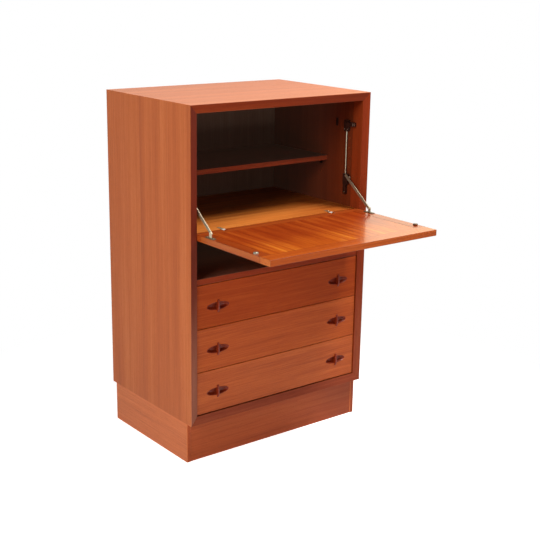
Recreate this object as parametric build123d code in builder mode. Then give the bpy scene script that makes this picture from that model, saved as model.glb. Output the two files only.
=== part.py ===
"""Drop-front secretary desk: a mitred teak carcase on a plinth, three drawers, an open niche, and a
compartment with a shelf behind a flap that swings down to make a writing surface.

Millimetres, +Z up, front towards -Y, +X to the right. The origin is on the floor, at the middle of the
footprint of the desk with its flap open, and the flap is modelled open.
"""

import os
from math import hypot, sqrt

from build123d import *

os.makedirs("parts", exist_ok=True)

# ------------------------------------------------------------------ sizes: carcase
width = 700.0  # over the sides
depth = 480.0  # front arris to rear edge
compartment_h = 358.0  # clear height over the desk board
panel_t = 26.0  # sides, top and bottom boards
front_bevel = 6.5  # fall of the front edges from their outer arris to their inner one
arris_r = 1.2  # softened outer edges of the carcase, front and rear
front_arris = 1.0  # broken edges of the drawer fronts
edge_round = 1.2  # softened front edges of the shelf and the flap
rebate_w = 12.0  # ledge that the back panel sits on
rebate_depth = 12.0  # from the rear edge to that ledge
back_t = 6.0
back_fit = 0.3  # play round the back panel

plinth_h = 130.0
plinth_t = 15.0
plinth_front_set = 26.0  # carcase front to plinth front
plinth_back_set = 21.0
plinth_side_set = 1.0
plinth_round = 2.5  # upright front corners
plinth_lap = 1.5  # front board set back from the ends of the side boards
block_w = 28.0  # corner glue blocks
block_drop = 8.0  # glue blocks stop short of the floor

# ------------------------------------------------------------------ sizes: boards inside
front_set = 10.5  # drawer fronts and closed flap, behind the front arris
desk_top_z = 736.0  # writing height
desk_t = 19.0
partition_t = 18.5
shelf_t = 16.0
shelf_top_z = 893.0
shelf_front_set = 175.0  # front arris to shelf front
shelf_play = 0.5  # each end of the shelf

pin_r = 2.5  # shelf support holes
pin_depth = 9.0
pin_fit = 0.05
pin_pitch = 32.0
front_row_set = 65.0  # front arris to the front row of holes
mid_row_set = 205.0
back_row_set = 55.0  # rear edge to the back row
row_counts = (7, 3, 3)  # holes in the front, middle and back rows
row_first = (-2, -1, -1)  # first hole of each row, counted from the shelf's own hole
support_w = 12.0
support_reach = 9.0
support_t = 2.5
support_h = 15.0
support_pin_drop = 8.5  # underside of the shelf to the pin of a support

# ------------------------------------------------------------------ sizes: drawers
drawer_names = ("lower", "middle", "upper")
drawer_gap = 2.0  # above and below each front
side_gap = 1.7  # each side of the fronts and of the flap
front_t = 20.0
front_h = 137.7
drawer_side_t = 12.0
drawer_side_h = 100.0
drawer_side_lift = 18.0  # bottom of a front to bottom of its sides
drawer_back_gap = 27.5  # end of a drawer's sides to the back panel
drawer_base_t = 4.0
drawer_base_lift = 9.0  # bottom of the sides to the underside of the base
drawer_groove = 5.0  # depth of the groove that holds the base
back_housing = 3.0  # depth of the housings that hold a drawer's back
back_inset = 8.0  # the sides run on past the back
runner_h = 16.0
runner_proud = 7.5
runner_play = 0.3  # above and below a runner in its groove
runner_groove = 6.5
runner_stop = 0.3  # closed drawer front to the runners that stop it
runner_end = 34.0  # short of the rear edge
tail_count = 4  # dovetails at each end of a drawer side
tail_len = 12.0  # half-blind length in the drawer front
tail_root = 10.0
tail_flare = 2.2  # a tail's root to its tip, on each side

# ------------------------------------------------------------------ sizes: pulls
pull_w = 84.0
pull_h = 25.5
pull_depth = 12.0
pull_rim = 1.8
pull_floor = 2.2
bowl_floor_w = 49.0
bowl_floor_h = 13.5
pull_fit = 0.1
pull_set = 78.7  # side end of a front to the middle of its pull
pull_drop = 4.2  # mid-height of a front to the middle of its pull
fin_w = 6.0
fin_h = 40.0
fin_proud = 7.0
fin_tip = 2.2  # how proud the fin is at its two ends
fin_edge = 1.4  # broken front edges of the fin

# ------------------------------------------------------------------ sizes: flap and hinges
flap_t = 19.0
flap_top_gap = 1.3  # closed flap to the top board
flap_back_gap = 0.5  # flap's round rear edge to the desk board
front_rail_w = 49.0
rear_rail_w = 40.0
stile_w = 38.0
shadow_w = 1.4  # groove between the stiles and the panel
shadow_d = 2.5
flap_pull_set = 30.0  # front edge of the flap to its pulls

hinge_set = 107.3  # side end of the flap to the middle of a hinge
leaf_w = 12.0
leaf_t = 2.0
leaf_reach = 24.0  # length of the leaf let into the desk board
leaf_corner_r = 4.0
leg_set = 2.0  # pivot to the leg of the board leaf
knuckle_r = 4.0
mid_knuckle_w = 5.0
end_knuckle_w = 3.6
knuckle_play = 0.3
hinge_pin_r = 1.5
hinge_fit = 0.05
flap_leaf_set = 12.0  # pivot to the front face of the flap leaf
flap_leaf_h = 12.5
notch_play = 0.6  # each side of the knuckles
notch_under = 0.4  # below the knuckles

# ------------------------------------------------------------------ sizes: stays and catches
foot_from_hinge = 71.8  # hinge axis to the arm's lower pivot, along the flap
foot_rise = 13.6  # lower pivot above the flap
foot_len = 43.0
foot_w = 12.0
foot_t = 2.0
foot_corner_r = 3.0
ear_w = 11.0
arm_w = 9.0
arm_t = 2.5
stay_pin_r = 2.0
stay_fit = 0.05
rivet_r = 3.2
rivet_t = 1.2
face_gap = 0.3  # between parts that slide past each other

rod_r = 2.5
rod_wall = 5.5  # rod axis to the side board
rod_set = 75.4  # front arris to the rod
slider_w = 8.0
slider_d = 24.0
slider_h = 36.0
slider_nose = 15.4  # rod to the front of the slider
slider_round = 2.5
slider_lead = 9.9  # rod to the arm's upper pivot
slider_rise = 104.2  # upper pivot above the desk board, flap open
pivot_drop = 5.3  # top of the slider to the upper pivot
knob_drop = 10.0  # top of the slider to the middle of its knob
knob_r = 3.8
knob_len = 9.0  # stem and head
knob_head_len = 4.5
knob_stem_r = 2.0
knob_edge = 0.8
bracket_w = 9.5
upper_bracket_d = 21.0
upper_bracket_h = 36.0
lower_bracket_d = 12.0
lower_bracket_h = 32.0
rod_socket = 20.0  # length of rod held in each bracket
bracket_round = 2.0

disc_r = 7.5
disc_t = 4.5
disc_edge = 0.6
disc_inset = 10.8  # side edge of the flap to the disc's centre
disc_set = 80.2  # front edge of the flap to the disc's centre
catch_w = 20.0
catch_h = 12.0
catch_rise = 24.9  # foot of the upper bracket to the middle of the catch in front of it
catch_air = 0.3  # closed disc to the catch's pole pieces
pole_t = 2.0
pole_proud = 1.2
pole_in = 8.0
pole_spread = 7.0
pole_h = 9.0

clip_set = 128.0  # front arris to the upright clip on the right side
clip_drop = 70.0  # top board to the top of the clip
clip_w = 8.0
clip_h = 25.0
clip_t = 4.0
clip_round = 2.0

# ------------------------------------------------------------------ places worked out from the sizes
height = desk_top_z + compartment_h + panel_t
inner_x = width / 2 - panel_t
floor_z = plinth_h + panel_t
ceiling_z = height - panel_t
body_h = height - plinth_h
body_mid_z = (height + plinth_h) / 2
inner_w = width - 2 * panel_t
inner_h = body_h - 2 * panel_t

flap_r = flap_t / 2
pivot_z = desk_top_z - flap_r
flap_len = ceiling_z - flap_top_gap - pivot_z
pivot_set = front_set + flap_r
flap_reach = flap_len - pivot_set  # overhang of the open flap in front of the carcase

y_front = (flap_reach - depth) / 2
y_back = y_front + depth
y_ledge = y_back - rebate_depth
pivot_y = y_front + pivot_set
flap_front_y = pivot_y - flap_len
front_y = y_front + front_set
desk_front_y = pivot_y + flap_r + flap_back_gap
front_half = inner_x - side_gap
partition_z = floor_z + len(drawer_names) * (front_h + drawer_gap) + drawer_gap
pull_x = front_half - pull_set
hinge_x = front_half - hinge_set
shelf_hole_z = shelf_top_z - shelf_t - support_pin_drop
row_ys = (y_front + front_row_set, y_front + mid_row_set, y_back - back_row_set)

rod_x = inner_x - rod_wall
rod_y = y_front + rod_set
slider_face_x = rod_x - slider_w / 2
arm_x = slider_face_x - face_gap - arm_t
foot_y = pivot_y - foot_from_hinge
foot_z = desk_top_z + foot_rise
head_y = rod_y - slider_lead
head_z = desk_top_z + slider_rise
arm_len = hypot(head_y - foot_y, head_z - foot_z)
shut_foot_y = pivot_y + flap_r + foot_rise
shut_foot_z = pivot_z + foot_from_hinge
shut_head_z = shut_foot_z + sqrt(arm_len**2 - (head_y - shut_foot_y) ** 2)
slider_front_y = rod_y - slider_nose
slider_z = head_z + pivot_drop - slider_h
lower_bracket_z = slider_z - face_gap - lower_bracket_h
disc_x = front_half - disc_inset
disc_y = flap_front_y + disc_set
catch_z = pivot_z + flap_len - disc_set
upper_bracket_z = catch_z - catch_rise
catch_front_y = pivot_y + flap_r + disc_t + catch_air


def at_x(x):
    """Upright plane facing +X: its own x runs along Y and its own y along Z."""
    return Plane.YZ.offset(x)


def at_y(y):
    """Upright plane facing the front: its own x runs along X and its own y along Z."""
    return Plane.XZ.offset(-y)


def at_z(z):
    """Level plane."""
    return Plane.XY.offset(z)


def keep(piece, label):
    """Name a finished piece and write its STEP file."""
    piece.part.label = label
    export_step(piece.part, f"parts/{label}.step")


def slab(x0, x1, y0, y1, z0, z1, mode=Mode.ADD):
    """Square-edged board or slot between two corners, in the part being made."""
    with Locations(((x0 + x1) / 2, (y0 + y1) / 2, (z0 + z1) / 2)):
        Box(x1 - x0, y1 - y0, z1 - z0, mode=mode)


# ------------------------------------------------------------------ carcase: one ring, cut at its mitres
with BuildPart() as case_ring:
    with BuildSketch(at_y(y_back)):
        with Locations((0, body_mid_z)):
            Rectangle(width, body_h)
            Rectangle(inner_w, inner_h, mode=Mode.SUBTRACT)
    extrude(amount=depth)
    with BuildSketch(at_y(y_front)):
        with Locations((0, body_mid_z)):
            Rectangle(width, body_h)
    with BuildSketch(at_y(y_front + front_bevel)):
        with Locations((0, body_mid_z)):
            Rectangle(inner_w, inner_h)
    loft(mode=Mode.SUBTRACT)
    with BuildSketch(at_y(y_back)):
        with Locations((0, body_mid_z)):
            Rectangle(inner_w + 2 * rebate_w, inner_h + 2 * rebate_w)
    extrude(amount=rebate_depth, mode=Mode.SUBTRACT)

mitre_top_right = Plane(origin=(width / 2, 0, height), z_dir=(1, 0, -1))
mitre_low_right = Plane(origin=(width / 2, 0, plinth_h), z_dir=(1, 0, 1))
mitre_top_left = Plane(origin=(-width / 2, 0, height), z_dir=(-1, 0, -1))
mitre_low_left = Plane(origin=(-width / 2, 0, plinth_h), z_dir=(-1, 0, 1))

with BuildPart() as side_right:
    add(case_ring.part)
    split(bisect_by=mitre_top_right, keep=Keep.TOP)
    split(bisect_by=mitre_low_right, keep=Keep.TOP)
    fillet(side_right.faces().sort_by(Axis.X)[-1].edges().filter_by(Axis.Z), arris_r)
    with BuildSketch(at_x(inner_x)):
        for y, count, first in zip(row_ys, row_counts, row_first):
            holes = [(y, shelf_hole_z + (first + i) * pin_pitch) for i in range(count)]
            with Locations(holes):
                Circle(pin_r)
    extrude(amount=pin_depth, mode=Mode.SUBTRACT)
keep(side_right, "side_right")

with BuildPart() as side_left:
    mirror(side_right.part, about=Plane.YZ)
keep(side_left, "side_left")

with BuildPart() as top_board:
    add(case_ring.part)
    split(bisect_by=mitre_top_right, keep=Keep.BOTTOM)
    split(bisect_by=mitre_top_left, keep=Keep.BOTTOM)
    fillet(top_board.faces().sort_by(Axis.Z)[-1].edges().filter_by(Axis.X), arris_r)
keep(top_board, "top_board")

with BuildPart() as bottom_board:
    add(case_ring.part)
    split(bisect_by=mitre_low_right, keep=Keep.BOTTOM)
    split(bisect_by=mitre_low_left, keep=Keep.BOTTOM)
    fillet(bottom_board.faces().sort_by(Axis.Z)[0].edges().filter_by(Axis.X), arris_r)
keep(bottom_board, "bottom_board")

with BuildPart() as back_panel:
    with BuildSketch(at_y(y_ledge)):
        with Locations((0, body_mid_z)):
            Rectangle(inner_w + 2 * (rebate_w - back_fit), inner_h + 2 * (rebate_w - back_fit))
    extrude(amount=-back_t)
keep(back_panel, "back_panel")

# ------------------------------------------------------------------ plinth
plinth_x = width / 2 - plinth_side_set
plinth_y0 = y_front + plinth_front_set
plinth_y1 = y_back - plinth_back_set
plinth_in_x = plinth_x - plinth_t

with BuildPart() as plinth_right:
    slab(plinth_in_x, plinth_x, plinth_y0, plinth_y1, 0, plinth_h)
    fillet(plinth_right.edges().filter_by(Axis.Z).group_by(Axis.Y)[0], plinth_round)
keep(plinth_right, "plinth_right")

with BuildPart() as plinth_left:
    mirror(plinth_right.part, about=Plane.YZ)
keep(plinth_left, "plinth_left")

plinth_front_y = plinth_y0 + plinth_lap
with BuildPart() as plinth_front:
    slab(-plinth_in_x, plinth_in_x, plinth_front_y, plinth_front_y + plinth_t, 0, plinth_h)
keep(plinth_front, "plinth_front")

with BuildPart() as plinth_back:
    slab(-plinth_in_x, plinth_in_x, plinth_y1 - plinth_t, plinth_y1, 0, plinth_h)
keep(plinth_back, "plinth_back")

with BuildPart() as plinth_blocks:
    block_corners = [
        (plinth_in_x, plinth_front_y + plinth_t, 1),
        (plinth_in_x, plinth_y1 - plinth_t, -1),
    ]
    for x, y, way in block_corners:
        with BuildSketch(at_z(block_drop)):
            with BuildLine():
                Polyline((x, y), (x - block_w, y), (x, y + way * block_w), close=True)
            make_face()
        extrude(amount=plinth_h - block_drop)
    mirror(about=Plane.YZ)
keep(plinth_blocks, "plinth_blocks")

# ------------------------------------------------------------------ boards inside the carcase
leaf_x0 = hinge_x - leaf_w / 2
leaf_x1 = hinge_x + leaf_w / 2
leaf_back_y = desk_front_y + leaf_reach

with BuildPart() as desk_board:
    slab(-inner_x, inner_x, desk_front_y, y_ledge, desk_top_z - desk_t, desk_top_z)
    for x0, x1 in ((leaf_x0, leaf_x1), (-leaf_x1, -leaf_x0)):
        slab(x0, x1, desk_front_y, leaf_back_y, desk_top_z - leaf_t, desk_top_z, Mode.SUBTRACT)
keep(desk_board, "desk_board")

with BuildPart() as partition_board:
    slab(-inner_x, inner_x, front_y, y_ledge, partition_z, partition_z + partition_t)
keep(partition_board, "partition_board")

shelf_half = inner_x - shelf_play
shelf_y = y_front + shelf_front_set
with BuildPart() as shelf:
    slab(-shelf_half, shelf_half, shelf_y, y_ledge - shelf_play, shelf_top_z - shelf_t, shelf_top_z)
    fillet(shelf.edges().filter_by(Axis.X).group_by(Axis.Y)[0], edge_round)
keep(shelf, "shelf")

support_top = shelf_top_z - shelf_t
with BuildPart() as shelf_supports:
    for y in row_ys[1:]:
        with BuildSketch(at_y(y + support_w / 2)):
            with Locations((inner_x, support_top)):
                Rectangle(support_reach, support_t, align=(Align.MAX, Align.MAX))
                Rectangle(support_t, support_h, align=(Align.MAX, Align.MAX))
        extrude(amount=support_w)
        with BuildSketch(at_x(inner_x)):
            with Locations((y, shelf_hole_z)):
                Circle(pin_r - pin_fit)
        extrude(amount=pin_depth)
    mirror(about=Plane.YZ)
keep(shelf_supports, "shelf_supports")

with BuildPart() as wall_clip:
    clip_y = y_front + clip_set
    clip_z = ceiling_z - clip_drop
    slab(inner_x - clip_t, inner_x, clip_y - clip_w / 2, clip_y + clip_w / 2, clip_z - clip_h, clip_z)
    fillet(wall_clip.edges().filter_by(Axis.Y).group_by(Axis.X)[0], clip_round)
keep(wall_clip, "wall_clip")

# ------------------------------------------------------------------ drawer runners
runner_y0 = front_y + front_t + runner_stop
runner_y1 = y_back - runner_end
side_lift_mid = drawer_side_lift + drawer_side_h / 2


def drawer_z(i):
    """Underside of the front of drawer i, counted from the lowest."""
    return floor_z + drawer_gap + i * (front_h + drawer_gap)


with BuildPart() as drawer_runners:
    for i in range(len(drawer_names)):
        mid_z = drawer_z(i) + side_lift_mid
        low_z = mid_z - runner_h / 2
        slab(inner_x - runner_proud, inner_x, runner_y0, runner_y1, low_z, low_z + runner_h)
    mirror(about=Plane.YZ)
keep(drawer_runners, "drawer_runners")


# ------------------------------------------------------------------ pulls: oval dish with an upright fin
# Modelled at the origin with the rim in the plane y = 0, facing -Y; the fin stands across the dish.
with BuildPart() as pull:
    with BuildSketch(at_y(pull_depth)):
        Ellipse(pull_w / 2 - pull_fit, pull_h / 2 - pull_fit)
    extrude(amount=pull_depth)
    bowl_depth = pull_depth - pull_floor
    mouth_w = pull_w / 2 - pull_rim
    mouth_h = pull_h / 2 - pull_rim
    with BuildSketch(at_y(0)):
        Ellipse(mouth_w, mouth_h)
    with BuildSketch(at_y(bowl_depth)):
        Ellipse(bowl_floor_w / 2, bowl_floor_h / 2)
    loft(mode=Mode.SUBTRACT)
    with BuildSketch(at_x(-fin_w / 2)):
        with BuildLine():
            top = (-fin_tip, fin_h / 2)
            low = (-fin_tip, -fin_h / 2)
            Line((0, -fin_h / 2), low)
            ThreePointArc(low, (-fin_proud, 0), top)
            Line(top, (0, fin_h / 2))
            Line((0, fin_h / 2), (0, -fin_h / 2))
        make_face()
        with Locations((bowl_depth / 2 + fin_tip / 2, 0)):
            Rectangle(bowl_depth + fin_tip, 2 * mouth_h)
    extrude(amount=fin_w)
    fin_front = pull.edges().filter_by(GeomType.CIRCLE).group_by(Axis.Y)[0]
    chamfer(fin_front, fin_edge)


with BuildPart() as pocket:
    with BuildSketch(at_y(pull_depth)):
        Ellipse(pull_w / 2, pull_h / 2)
    extrude(amount=pull_depth)


def pulls_at(places):
    """A pair of pulls, as separate solids of one part."""
    with BuildPart() as pair:
        for place in places:
            add(pull.part.moved(place))
    return pair


def pull_pockets(places):
    """Oval pockets for a pair of pulls, cut from the part being made."""
    for place in places:
        add(pocket.part.moved(place), mode=Mode.SUBTRACT)


# ------------------------------------------------------------------ drawers
side_x1 = front_half
side_x0 = front_half - drawer_side_t
box_y0 = front_y + front_t
box_y1 = y_ledge - drawer_back_gap
groove_h = runner_h + 2 * runner_play

with BuildPart() as tails:
    tail_pitch = drawer_side_h / tail_count
    tail_tip = tail_root / 2 + tail_flare
    with BuildSketch(at_x(side_x0)):
        for k in range(tail_count):
            mid = (k + 1) * tail_pitch - (drawer_side_h + tail_pitch) / 2
            with BuildLine():
                Polyline(
                    (box_y0, mid - tail_root / 2),
                    (box_y0 - tail_len, mid - tail_tip),
                    (box_y0 - tail_len, mid + tail_tip),
                    (box_y0, mid + tail_root / 2),
                    close=True,
                )
            make_face()
    extrude(amount=drawer_side_t)

with BuildPart() as tails_both:
    add(tails.part)
    mirror(about=Plane.YZ)

back_y1 = box_y1 - back_inset
back_y0 = back_y1 - drawer_side_t
base_half = side_x0 + drawer_groove

for i, name in enumerate(drawer_names):
    z0 = drawer_z(i)
    side_z0 = z0 + drawer_side_lift
    side_z1 = side_z0 + drawer_side_h
    base_z0 = side_z0 + drawer_base_lift
    base_z1 = base_z0 + drawer_base_t
    mid_z = z0 + side_lift_mid
    tails_up = Location((0, 0, mid_z))
    pull_z = z0 + front_h / 2 - pull_drop
    places = [Location((x, front_y, pull_z)) for x in (-pull_x, pull_x)]

    with BuildPart() as drawer_front:
        slab(-front_half, front_half, front_y, box_y0, z0, z0 + front_h)
        chamfer(drawer_front.faces().sort_by(Axis.Y)[0].edges(), front_arris)
        pull_pockets(places)
        add(tails_both.part.moved(tails_up), mode=Mode.SUBTRACT)
        slab(-base_half, base_half, box_y0 - drawer_groove, box_y0, base_z0, base_z1, Mode.SUBTRACT)
    keep(drawer_front, f"drawer_{name}_front")

    with BuildPart() as drawer_side:
        slab(side_x0, side_x1, box_y0, box_y1, side_z0, side_z1)
        add(tails.part.moved(tails_up))
        groove_z = mid_z - groove_h / 2
        slab(side_x1 - runner_groove, side_x1, box_y0, box_y1, groove_z, groove_z + groove_h, Mode.SUBTRACT)
        slab(side_x0, base_half, box_y0 - drawer_groove, box_y1, base_z0, base_z1, Mode.SUBTRACT)
        slab(side_x0, side_x0 + back_housing, back_y0, back_y1, base_z1, side_z1, Mode.SUBTRACT)
    keep(drawer_side, f"drawer_{name}_side_right")

    with BuildPart() as drawer_side_left:
        mirror(drawer_side.part, about=Plane.YZ)
    keep(drawer_side_left, f"drawer_{name}_side_left")

    with BuildPart() as drawer_back:
        slab(-side_x0 - back_housing, side_x0 + back_housing, back_y0, back_y1, base_z1, side_z1)
    keep(drawer_back, f"drawer_{name}_back")

    with BuildPart() as drawer_base:
        slab(-base_half, base_half, box_y0 - drawer_groove, back_y1, base_z0, base_z1)
    keep(drawer_base, f"drawer_{name}_base")

    keep(pulls_at(places), f"drawer_{name}_pulls")

# ------------------------------------------------------------------ flap, modelled open
rear_rail_y = pivot_y + flap_r - rear_rail_w
front_rail_y = flap_front_y + front_rail_w
flap_low_z = desk_top_z - flap_t
stile_x = front_half - stile_w
notch_half = mid_knuckle_w / 2 + end_knuckle_w + knuckle_play + notch_play
flap_leaf_y = pivot_y - flap_leaf_set

with BuildPart() as flap_front_rail:
    slab(-front_half, front_half, flap_front_y, front_rail_y, flap_low_z, desk_top_z)
    fillet(flap_front_rail.edges().filter_by(Axis.X).group_by(Axis.Y)[0], edge_round)
    flap_pull_places = [
        Location((x, flap_front_y + flap_pull_set, flap_low_z), (90, 0, 0)) for x in (-pull_x, pull_x)
    ]
    pull_pockets(flap_pull_places)
keep(flap_front_rail, "flap_front_rail")

with BuildPart() as flap_rear_rail:
    with BuildSketch(at_x(-front_half)):
        with Locations((pivot_y, pivot_z)):
            Circle(flap_r)
        with Locations((rear_rail_y, pivot_z)):
            Rectangle(pivot_y - rear_rail_y, flap_t, align=(Align.MIN, Align.CENTER))
    extrude(amount=2 * front_half)
    for x in (-hinge_x, hinge_x):
        slab(
            x - notch_half,
            x + notch_half,
            flap_leaf_y,
            pivot_y + flap_t,
            pivot_z - knuckle_r - notch_under,
            desk_top_z,
            Mode.SUBTRACT,
        )
keep(flap_rear_rail, "flap_rear_rail")

with BuildPart() as flap_stile_right:
    slab(stile_x, front_half, front_rail_y, rear_rail_y, flap_low_z, desk_top_z)
keep(flap_stile_right, "flap_stile_right")

with BuildPart() as flap_stile_left:
    mirror(flap_stile_right.part, about=Plane.YZ)
keep(flap_stile_left, "flap_stile_left")

with BuildPart() as flap_panel:
    slab(-stile_x, stile_x, front_rail_y, rear_rail_y, flap_low_z, desk_top_z)
    for x in (-stile_x, stile_x - shadow_w):
        slab(x, x + shadow_w, front_rail_y, rear_rail_y, desk_top_z - shadow_d, desk_top_z, Mode.SUBTRACT)
keep(flap_panel, "flap_panel")

keep(pulls_at(flap_pull_places), "flap_pulls")

# ------------------------------------------------------------------ flap hinges
end_knuckle_x = mid_knuckle_w / 2 + knuckle_play
knuckle_end_x = end_knuckle_x + end_knuckle_w

with BuildPart() as hinge_board_leaves:
    slab(leaf_x0, leaf_x1, pivot_y + leg_set, leaf_back_y, desk_top_z - leaf_t, desk_top_z)
    with BuildSketch(at_x(hinge_x - mid_knuckle_w / 2)):
        with Locations((pivot_y, pivot_z)):
            Circle(knuckle_r)
        with Locations((pivot_y + leg_set, pivot_z)):
            Rectangle(leaf_t, desk_top_z - pivot_z, align=(Align.MIN, Align.MIN))
        with Locations((pivot_y, pivot_z)):
            Circle(hinge_pin_r + hinge_fit, mode=Mode.SUBTRACT)
    extrude(amount=mid_knuckle_w)
    fillet(hinge_board_leaves.edges().filter_by(Axis.Z).group_by(Axis.Y)[-1], leaf_corner_r)
    mirror(about=Plane.YZ)
keep(hinge_board_leaves, "hinge_board_leaves")

with BuildPart() as hinge_flap_leaves:
    plate_z = pivot_z - knuckle_r - notch_under
    leaf_gap_y = pivot_y - knuckle_r - notch_play
    for x in (hinge_x - knuckle_end_x, hinge_x + end_knuckle_x):
        with BuildSketch(at_x(x)):
            with Locations((pivot_y, pivot_z)):
                Circle(knuckle_r)
            with Locations((pivot_y, plate_z)):
                Rectangle(pivot_y - flap_leaf_y, leaf_t, align=(Align.MAX, Align.MIN))
            with Locations((pivot_y, pivot_z)):
                Circle(hinge_pin_r + hinge_fit, mode=Mode.SUBTRACT)
        extrude(amount=end_knuckle_w)
    leaf_side = (hinge_x - knuckle_end_x, hinge_x + knuckle_end_x)
    slab(*leaf_side, flap_leaf_y, leaf_gap_y, plate_z, plate_z + leaf_t)
    slab(*leaf_side, flap_leaf_y, flap_leaf_y + leaf_t, plate_z, plate_z + flap_leaf_h)
    mirror(about=Plane.YZ)
keep(hinge_flap_leaves, "hinge_flap_leaves")

with BuildPart() as hinge_pins:
    with BuildSketch(at_x(hinge_x - knuckle_end_x)):
        with Locations((pivot_y, pivot_z)):
            Circle(hinge_pin_r)
    extrude(amount=2 * knuckle_end_x)
    mirror(about=Plane.YZ)
keep(hinge_pins, "hinge_pins")

# ------------------------------------------------------------------ stays
with BuildPart() as stay_feet:
    ear_x = slider_face_x
    slab(
        ear_x - foot_w / 2,
        ear_x + foot_w / 2,
        foot_y - foot_len / 2,
        foot_y + foot_len / 2,
        desk_top_z,
        desk_top_z + foot_t,
    )
    fillet(stay_feet.edges().filter_by(Axis.Z), foot_corner_r)
    with BuildSketch(at_x(ear_x)):
        with Locations((foot_y, desk_top_z)):
            Rectangle(ear_w, foot_rise, align=(Align.CENTER, Align.MIN))
        with Locations((foot_y, foot_z)):
            Circle(ear_w / 2)
    extrude(amount=foot_t)
    with BuildSketch(at_x(ear_x + foot_t)):
        with Locations((foot_y, foot_z)):
            Circle(stay_pin_r)
    extrude(amount=-(foot_t + arm_t + 2 * face_gap))
    with BuildSketch(at_x(arm_x - face_gap)):
        with Locations((foot_y, foot_z)):
            Circle(rivet_r)
    extrude(amount=-rivet_t)
    mirror(about=Plane.YZ)
keep(stay_feet, "stay_feet")

with BuildPart() as stay_arm_right:
    along_arm = (0, head_y - foot_y, head_z - foot_z)
    arm_plane = Plane(origin=(arm_x, foot_y, foot_z), x_dir=along_arm, z_dir=(1, 0, 0))
    with BuildSketch(arm_plane):
        with Locations((arm_len / 2, 0)):
            SlotCenterToCenter(arm_len, arm_w)
        Circle(stay_pin_r + stay_fit, mode=Mode.SUBTRACT)
    extrude(amount=arm_t)
    with BuildSketch(arm_plane):
        with Locations((arm_len, 0)):
            Circle(rivet_r)
    extrude(amount=-rivet_t)
keep(stay_arm_right, "stay_arm_right")

with BuildPart() as stay_arm_left:
    mirror(stay_arm_right.part, about=Plane.YZ)
keep(stay_arm_left, "stay_arm_left")

with BuildPart() as stay_slider_right:
    slider_y = (slider_front_y, slider_front_y + slider_d)
    slab(slider_face_x, slider_face_x + slider_w, *slider_y, slider_z, slider_z + slider_h)
    fillet(stay_slider_right.edges().filter_by(Axis.X), slider_round)
    with BuildSketch(at_z(slider_z)):
        with Locations((rod_x, rod_y)):
            Circle(rod_r + stay_fit)
    extrude(amount=slider_h, mode=Mode.SUBTRACT)
keep(stay_slider_right, "stay_slider_right")

with BuildPart() as stay_slider_left:
    mirror(stay_slider_right.part, about=Plane.YZ)
keep(stay_slider_left, "stay_slider_left")

knob_z = slider_z + slider_h - knob_drop
with BuildPart() as stay_knob_right:
    with BuildSketch(at_y(slider_front_y)):
        with Locations((rod_x, knob_z)):
            Circle(knob_stem_r)
    extrude(amount=knob_len)
    with BuildSketch(at_y(slider_front_y - knob_len + knob_head_len)):
        with Locations((rod_x, knob_z)):
            Circle(knob_r)
    extrude(amount=knob_head_len)
    chamfer(stay_knob_right.edges().group_by(Axis.Y)[0], knob_edge)
keep(stay_knob_right, "stay_knob_right")

with BuildPart() as stay_knob_left:
    mirror(stay_knob_right.part, about=Plane.YZ)
keep(stay_knob_left, "stay_knob_left")

bracket_x0 = inner_x - bracket_w
rod_z0 = lower_bracket_z + lower_bracket_h - rod_socket
rod_z1 = upper_bracket_z + rod_socket
with BuildPart() as stay_rods:
    with BuildSketch(at_z(rod_z0)):
        with Locations((rod_x, rod_y)):
            Circle(rod_r)
    extrude(amount=rod_z1 - rod_z0)
    mirror(about=Plane.YZ)
keep(stay_rods, "stay_rods")


def rod_bracket(bracket_d, z0, h):
    """Block on the right side board with a socket for the rod, mirrored to the left."""
    with BuildPart() as bracket:
        slab(bracket_x0, inner_x, rod_y - bracket_d / 2, rod_y + bracket_d / 2, z0, z0 + h)
        fillet(bracket.edges().filter_by(Axis.X), bracket_round)
        with BuildSketch(at_z(rod_z0)):
            with Locations((rod_x, rod_y)):
                Circle(rod_r + stay_fit)
        extrude(amount=rod_z1 - rod_z0, mode=Mode.SUBTRACT)
        mirror(about=Plane.YZ)
    return bracket


keep(rod_bracket(upper_bracket_d, upper_bracket_z, upper_bracket_h), "stay_upper_brackets")
keep(rod_bracket(lower_bracket_d, lower_bracket_z, lower_bracket_h), "stay_lower_brackets")

# ------------------------------------------------------------------ magnetic catches
catch_back_y = rod_y - upper_bracket_d / 2 - face_gap
housing_front_y = catch_front_y + pole_proud
pole_xs = (disc_x - pole_spread / 2, disc_x + pole_spread / 2)
pole_back_y = housing_front_y + pole_in
pole_z = (catch_z - pole_h / 2, catch_z + pole_h / 2)

with BuildPart() as catch_housings:
    catch_z0 = catch_z - catch_h / 2
    slab(inner_x - catch_w, inner_x, housing_front_y, catch_back_y, catch_z0, catch_z0 + catch_h)
    fillet(catch_housings.edges().filter_by(Axis.Y).group_by(Axis.X)[0], bracket_round)
    for x in pole_xs:
        pole_x0 = x - pole_t / 2
        slab(pole_x0, pole_x0 + pole_t, housing_front_y, pole_back_y, *pole_z, Mode.SUBTRACT)
    mirror(about=Plane.YZ)
keep(catch_housings, "catch_housings")

with BuildPart() as catch_poles:
    for x in pole_xs:
        pole_x0 = x - pole_t / 2
        slab(pole_x0, pole_x0 + pole_t, catch_front_y, pole_back_y, *pole_z)
    mirror(about=Plane.YZ)
keep(catch_poles, "catch_poles")

with BuildPart() as catch_discs:
    with BuildSketch(at_z(desk_top_z)):
        with Locations((disc_x, disc_y)):
            Circle(disc_r)
    extrude(amount=disc_t)
    chamfer(catch_discs.edges().group_by(Axis.Z)[-1], disc_edge)
    mirror(about=Plane.YZ)
keep(catch_discs, "catch_discs")
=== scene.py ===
"""Looks of a drop-front teak secretary desk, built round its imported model: veneers and lippings, lacquer,
nickelled fittings, moulded brown plastic, the screws and the smoothly shaped pulls, in a plain pale studio.

Metres, in the model's own frame: +Z up, the front towards -Y.
"""

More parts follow.
